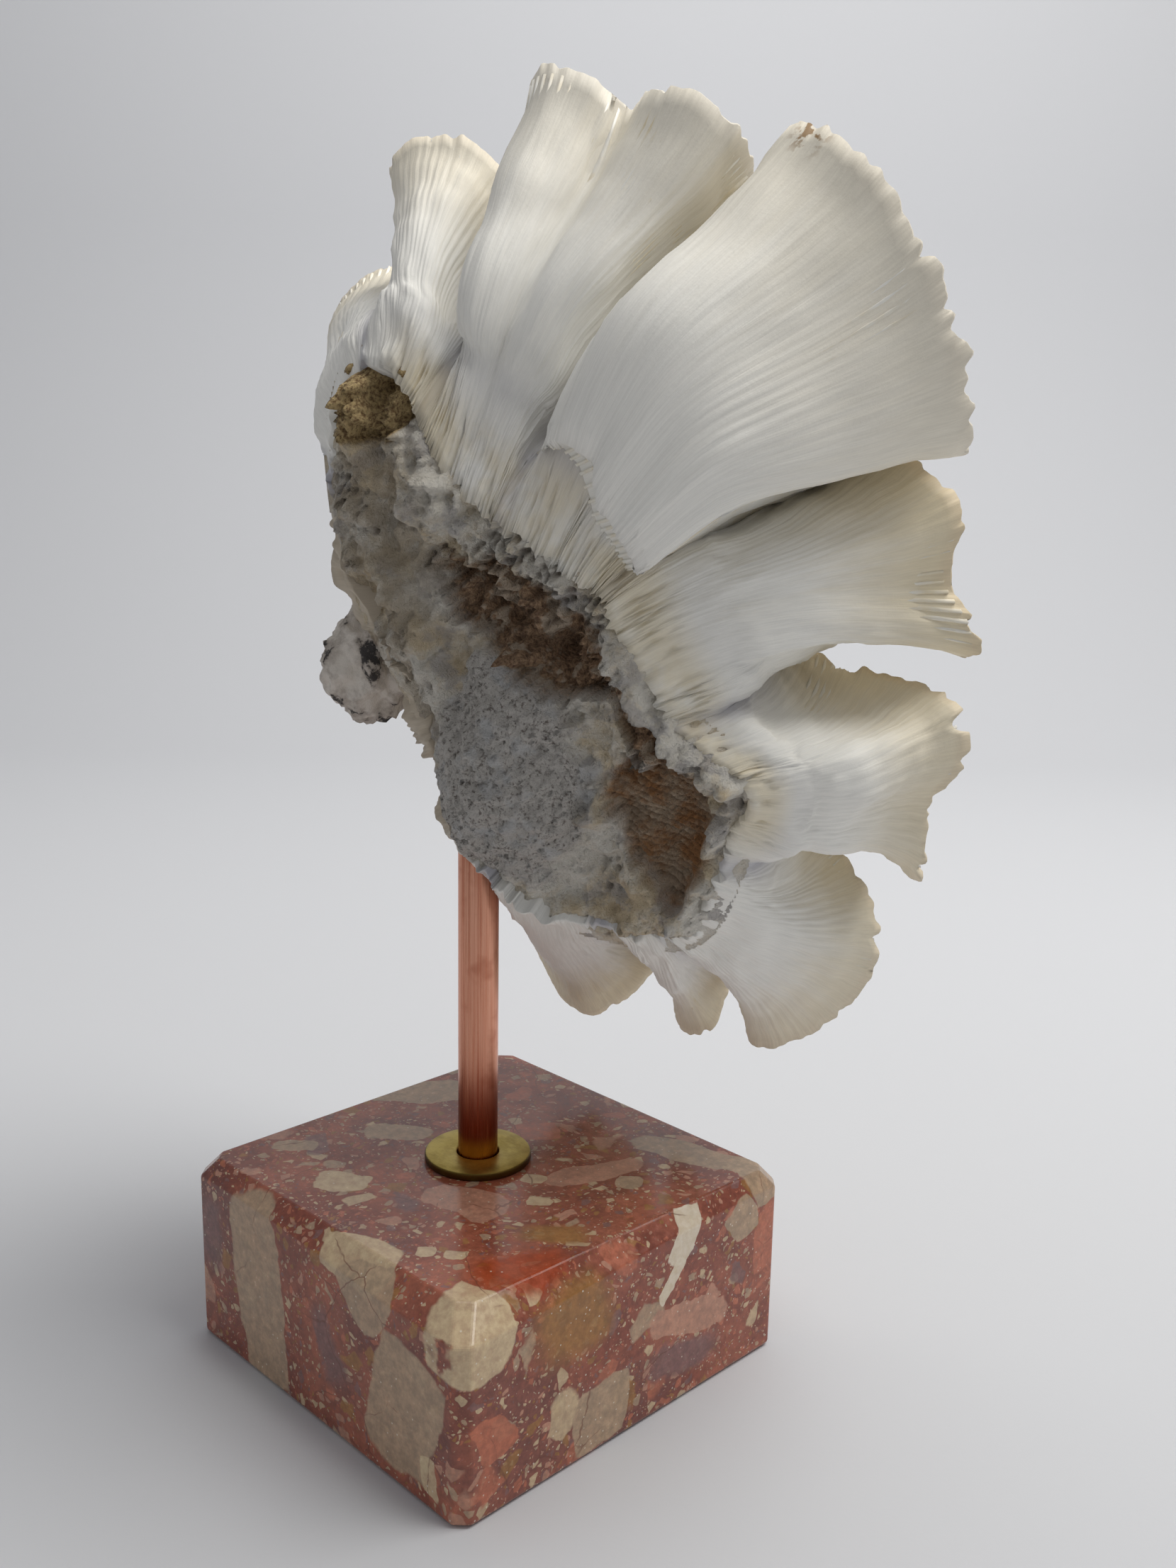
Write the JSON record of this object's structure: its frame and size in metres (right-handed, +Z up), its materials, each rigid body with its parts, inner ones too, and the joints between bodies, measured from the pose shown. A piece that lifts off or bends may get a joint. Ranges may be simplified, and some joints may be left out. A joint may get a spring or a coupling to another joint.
{
  "type": "mounted brain coral",
  "caption": "Dried brain coral skeleton with a ruffled, lobed cup, mounted on a short upright copper tube in a polished breccia marble block, for display.",
  "frame": {"origin": "centre of the marble block's underside, which stands on the table", "axes": "+Z up along the tube; +X and +Y square to the block's sides; the coral's open face looks towards +Y, turned a little to -X and up"},
  "size_m": [0.1869, 0.1313, 0.3106],
  "materials": {
    "marble": "polished red breccia marble",
    "brass": "satin brass, slightly tarnished",
    "copper": "drawn copper with fine lengthwise lines",
    "coral": "matt white coral skeleton, cream at the rims and brown on the broken base"
  },
  "bodies": {
    "root": {"marble_base": "marble", "brass_washer": "brass", "copper_tube": "copper", "coral": "coral"}
  },
  "joints": []
}
